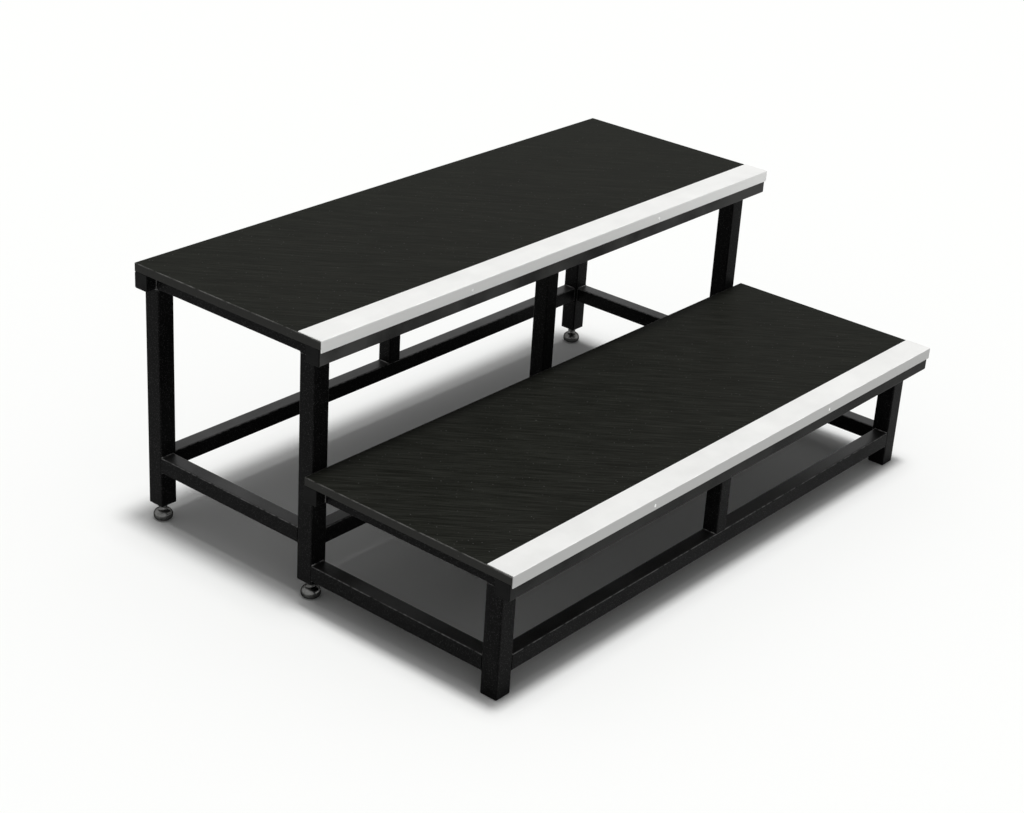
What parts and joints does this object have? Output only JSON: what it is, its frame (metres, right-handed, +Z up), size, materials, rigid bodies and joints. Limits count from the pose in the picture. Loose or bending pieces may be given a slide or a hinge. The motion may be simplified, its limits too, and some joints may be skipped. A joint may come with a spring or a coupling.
{
  "type": "tiered display table",
  "caption": "Two-step display riser: black boards with aluminium edge angles on a welded square-tube frame, levelling feet under the high step.",
  "frame": {"origin": "on the floor, under the middle of the whole unit's box", "axes": "+X along the steps to the right seen from the front, +Y to the rear where the high step is, +Z up"},
  "size_m": [1.45, 0.995, 0.58],
  "materials": {
    "black_steel": "black satin powder coat",
    "black_board": "black laminated board, fine matt texture",
    "edge_aluminium": "plain anodised aluminium",
    "zinc_screw": "bright zinc plate",
    "black_plastic": "black moulded plastic",
    "bare_steel": "bare steel",
    "foot_chrome": "polished plated steel",
    "pad_rubber": "black rubber"
  },
  "bodies": {
    "frame": {"upper_board": "black_board", "lower_board": "black_board", "upper_nosing": "edge_aluminium", "lower_nosing": "edge_aluminium", "upper_nosing_left_screw": "zinc_screw", "upper_nosing_right_screw": "zinc_screw", "lower_nosing_left_screw": "zinc_screw", "lower_nosing_right_screw": "zinc_screw", "upper_front_rail": "black_steel", "upper_rear_rail": "black_steel", "upper_left_rail": "black_steel", "upper_right_rail": "black_steel", "upper_middle_rail": "black_steel", "lower_front_rail": "black_steel", "lower_rear_rail": "black_steel", "lower_left_rail": "black_steel", "lower_right_rail": "black_steel", "lower_middle_rail": "black_steel", "upper_front_rail_left_cap": "black_plastic", "upper_front_rail_right_cap": "black_plastic", "upper_rear_rail_left_cap": "black_plastic", "upper_rear_rail_right_cap": "black_plastic", "lower_front_rail_left_cap": "black_plastic", "lower_front_rail_right_cap": "black_plastic", "lower_rear_rail_left_cap": "black_plastic", "lower_rear_rail_right_cap": "black_plastic", "upper_front_left_leg": "black_steel", "upper_front_right_leg": "black_steel", "upper_rear_left_leg": "black_steel", "upper_rear_right_leg": "black_steel", "lower_left_leg": "black_steel", "lower_right_leg": "black_steel", "upper_front_post": "black_steel", "upper_rear_post": "black_steel", "lower_front_post": "black_steel", "upper_front_stretcher": "black_steel", "upper_rear_stretcher": "black_steel", "upper_left_stretcher": "black_steel", "upper_right_stretcher": "black_steel", "lower_front_stretcher": "black_steel", "lower_left_stretcher": "black_steel", "lower_right_stretcher": "black_steel", "lower_left_glide": "black_plastic", "lower_right_glide": "black_plastic", "front_left_foot_nut": "bare_steel", "front_right_foot_nut": "bare_steel", "rear_left_foot_nut": "bare_steel", "rear_right_foot_nut": "bare_steel"},
    "front_left_foot": {"front_left_foot_dome": "foot_chrome", "front_left_foot_pad": "pad_rubber"},
    "front_right_foot": {"front_right_foot_dome": "foot_chrome", "front_right_foot_pad": "pad_rubber"},
    "rear_left_foot": {"rear_left_foot_dome": "foot_chrome", "rear_left_foot_pad": "pad_rubber"},
    "rear_right_foot": {"rear_right_foot_dome": "foot_chrome", "rear_right_foot_pad": "pad_rubber"},
    "front_left_screw": {"front_left_foot_screw": "foot_chrome"},
    "front_right_screw": {"front_right_foot_screw": "foot_chrome"},
    "rear_left_screw": {"rear_left_foot_screw": "foot_chrome"},
    "rear_right_screw": {"rear_right_foot_screw": "foot_chrome"}
  },
  "joints": [
    {"name": "front_left_drop", "type": "slide", "parent": "frame", "child": "front_left_foot", "axis": [0, 0, -1], "range_m": [0, 0.0175]},
    {"name": "front_right_drop", "type": "slide", "parent": "frame", "child": "front_right_foot", "axis": [0, 0, -1], "range_m": [0, 0.0175]},
    {"name": "rear_left_drop", "type": "slide", "parent": "frame", "child": "rear_left_foot", "axis": [0, 0, -1], "range_m": [0, 0.0175]},
    {"name": "rear_right_drop", "type": "slide", "parent": "frame", "child": "rear_right_foot", "axis": [0, 0, -1], "range_m": [0, 0.0175]},
    {"name": "front_left_turn", "type": "hinge", "parent": "front_left_foot", "child": "front_left_screw", "pos_m": [-0.68, 0.0415, 0.03], "axis": [0, 0, -1], "range_deg": [0, 3600]},
    {"name": "front_right_turn", "type": "hinge", "parent": "front_right_foot", "child": "front_right_screw", "pos_m": [0.68, 0.0415, 0.03], "axis": [0, 0, -1], "range_deg": [0, 3600]},
    {"name": "rear_left_turn", "type": "hinge", "parent": "rear_left_foot", "child": "rear_left_screw", "pos_m": [-0.68, 0.4775, 0.03], "axis": [0, 0, -1], "range_deg": [0, 3600]},
    {"name": "rear_right_turn", "type": "hinge", "parent": "rear_right_foot", "child": "rear_right_screw", "pos_m": [0.68, 0.4775, 0.03], "axis": [0, 0, -1], "range_deg": [0, 3600]}
  ],
  "couplings": [
    {"joint": "front_left_turn", "follows": "front_left_drop", "rad_per_m": 3590.4},
    {"joint": "front_right_turn", "follows": "front_right_drop", "rad_per_m": 3590.4},
    {"joint": "rear_left_turn", "follows": "rear_left_drop", "rad_per_m": 3590.4},
    {"joint": "rear_right_turn", "follows": "rear_right_drop", "rad_per_m": 3590.4}
  ]
}
